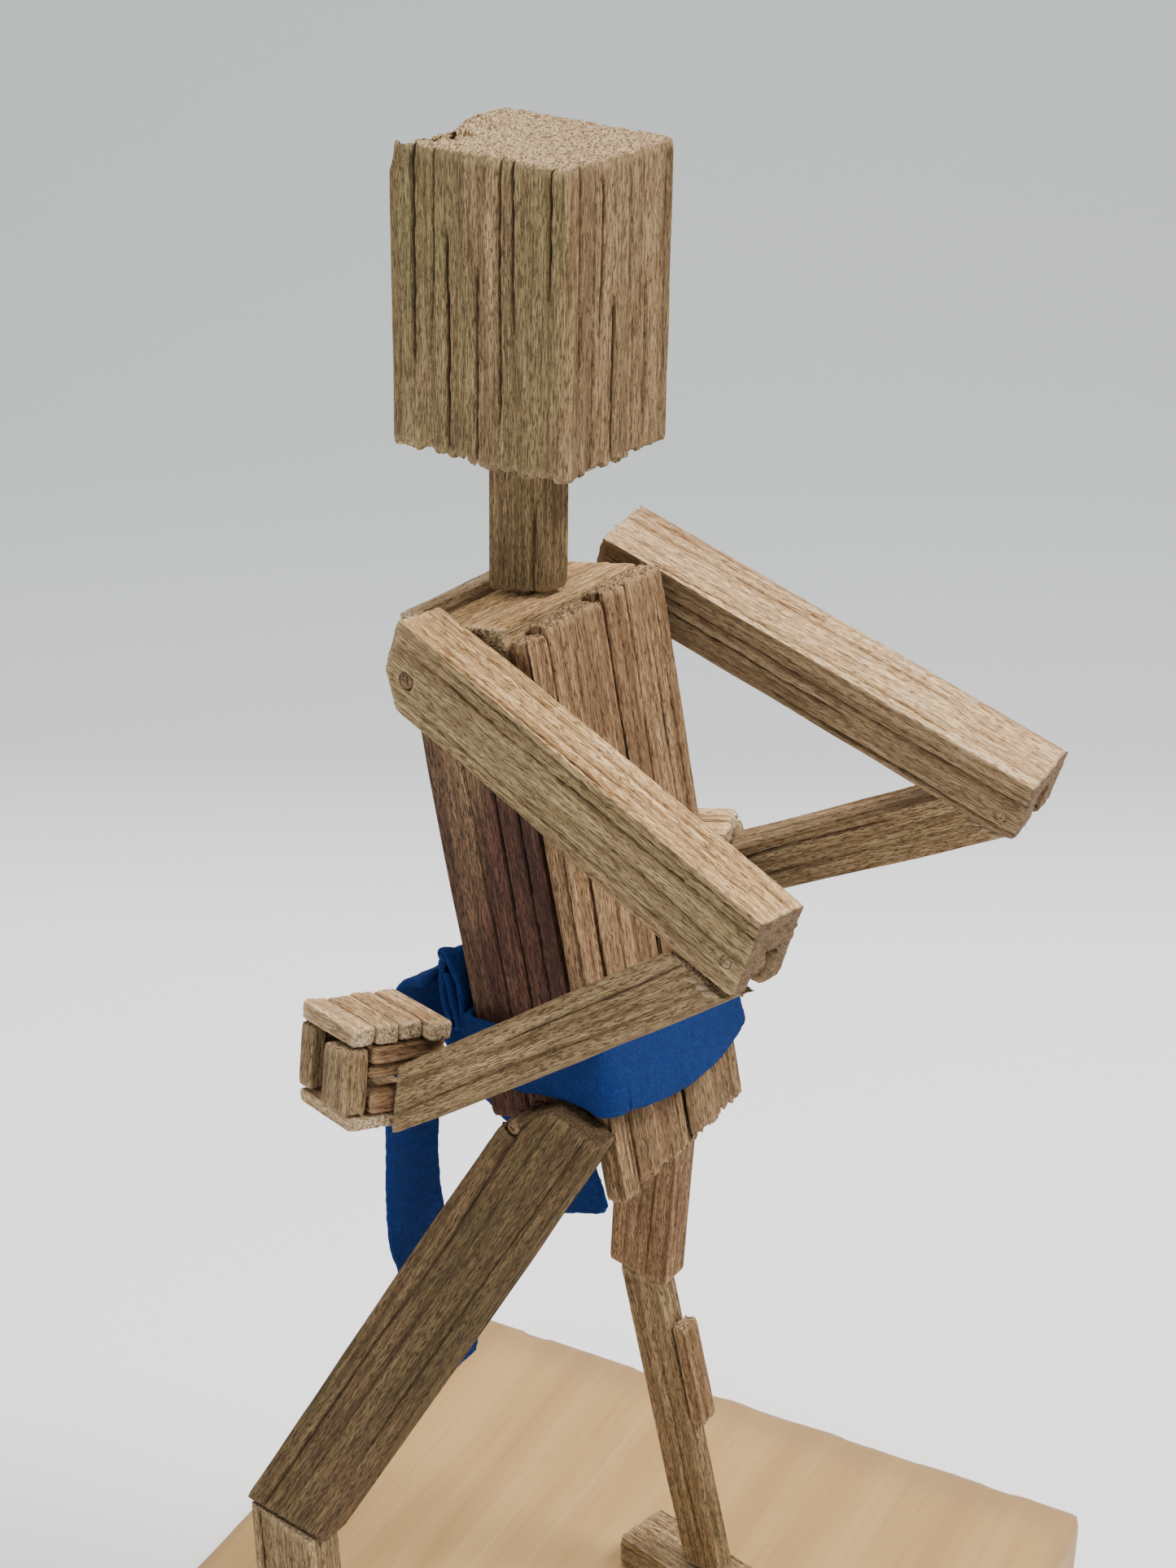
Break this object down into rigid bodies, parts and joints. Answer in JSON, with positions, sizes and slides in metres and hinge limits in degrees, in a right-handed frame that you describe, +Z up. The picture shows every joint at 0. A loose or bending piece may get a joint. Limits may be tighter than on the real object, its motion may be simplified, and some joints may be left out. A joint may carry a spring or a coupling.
{
  "type": "artist mannequin",
  "caption": "Small posed figure of split weathered wood sticks with a felt belt, standing on a smooth board; head, shoulders, elbows and wrists turn.",
  "frame": {"origin": "centre of the object's footprint on the surface that the base board stands on", "axes": "+Z up; -Y is the board's front edge, and the figure faces it turned 8.9 degrees; +X is the figure's left"},
  "size_m": [0.16, 0.1134, 0.228],
  "materials": {
    "board": "smooth sanded, light tan",
    "weathered_wood": "weathered, deep dark grain, matt",
    "warm_wood": "weathered, growth-ring ridges, matt",
    "dark_wood": "dark reddish brown, matt",
    "tan_wood": "split, pale tan, matt",
    "peg_wood": "turned, matt",
    "felt": "blue felt, matt"
  },
  "bodies": {
    "stand": {"base_board": "board", "back_strip_1": "warm_wood", "back_strip_2": "warm_wood", "back_strip_3": "warm_wood", "chest_block": "dark_wood", "shoulder_beam": "weathered_wood", "collar_stick": "weathered_wood", "neck_dowel": "peg_wood", "left_thigh": "weathered_wood", "left_hip_peg": "peg_wood", "left_shin": "weathered_wood", "left_knee_dowel": "peg_wood", "left_foot": "weathered_wood", "left_foot_dowel": "peg_wood", "right_thigh": "weathered_wood", "right_hip_peg": "peg_wood", "right_shin": "weathered_wood", "right_knee_dowel": "peg_wood", "right_foot": "weathered_wood", "right_foot_dowel": "peg_wood", "right_shin_splice": "warm_wood", "belt_band": "felt", "belt_knot": "felt", "belt_tail_left": "felt", "belt_tail_right": "felt"},
    "head": {"head_block": "weathered_wood", "neck_post": "weathered_wood"},
    "left_upper_arm": {"left_upper_arm": "weathered_wood", "left_shoulder_pin": "peg_wood", "left_elbow_pin": "peg_wood"},
    "left_forearm": {"left_forearm": "weathered_wood", "left_wrist_dowel": "peg_wood"},
    "left_hand": {"left_finger_1": "tan_wood", "left_finger_2": "tan_wood", "left_finger_3": "tan_wood", "left_finger_4": "tan_wood", "left_palm": "weathered_wood", "left_thumb_post": "weathered_wood", "left_front_post": "weathered_wood", "left_upper_bar": "warm_wood", "left_middle_bar": "weathered_wood", "left_heel_bar": "warm_wood"},
    "right_upper_arm": {"right_upper_arm": "weathered_wood", "right_shoulder_pin": "peg_wood", "right_elbow_pin": "peg_wood"},
    "right_forearm": {"right_forearm": "weathered_wood", "right_wrist_dowel": "peg_wood"},
    "right_hand": {"right_finger_1": "tan_wood", "right_finger_2": "tan_wood", "right_finger_3": "tan_wood", "right_finger_4": "tan_wood", "right_palm": "weathered_wood", "right_thumb_post": "weathered_wood", "right_front_post": "weathered_wood", "right_upper_bar": "warm_wood", "right_middle_bar": "weathered_wood", "right_heel_bar": "warm_wood"}
  },
  "joints": [
    {"name": "neck_swivel", "type": "hinge", "parent": "stand", "child": "head", "pos_m": [-0.00139, -0.00024, 0.17816], "axis": [-0.0336, -0.2147, 0.9761], "continuous": true},
    {"name": "left_shoulder_swing", "type": "hinge", "parent": "stand", "child": "left_upper_arm", "pos_m": [0.01112, -0.00304, 0.174], "axis": [-0.988, 0.1547, 0], "range_deg": [-30, 150]},
    {"name": "left_elbow_bend", "type": "hinge", "parent": "left_upper_arm", "child": "left_forearm", "pos_m": [0.02828, 0.04014, 0.15807], "axis": [0.949, -0.2151, 0.2303], "range_deg": [0, 85]},
    {"name": "left_wrist_twist", "type": "hinge", "parent": "left_forearm", "child": "left_hand", "pos_m": [0.02711, 0.00254, 0.12945], "axis": [-0.4584, -0.8779, -0.138], "range_deg": [-90, 60]},
    {"name": "right_shoulder_swing", "type": "hinge", "parent": "stand", "child": "right_upper_arm", "pos_m": [-0.01312, 0.00602, 0.1753], "axis": [-0.988, 0.1547, 0], "range_deg": [-30, 150]},
    {"name": "right_elbow_bend", "type": "hinge", "parent": "right_upper_arm", "child": "right_forearm", "pos_m": [-0.01709, 0.05204, 0.15912], "axis": [0.9707, -0.1123, -0.2126], "range_deg": [0, 85]},
    {"name": "right_wrist_twist", "type": "hinge", "parent": "right_forearm", "child": "right_hand", "pos_m": [-0.02724, 0.01659, 0.13328], "axis": [0.1681, -0.9761, -0.138], "range_deg": [-60, 90]}
  ]
}
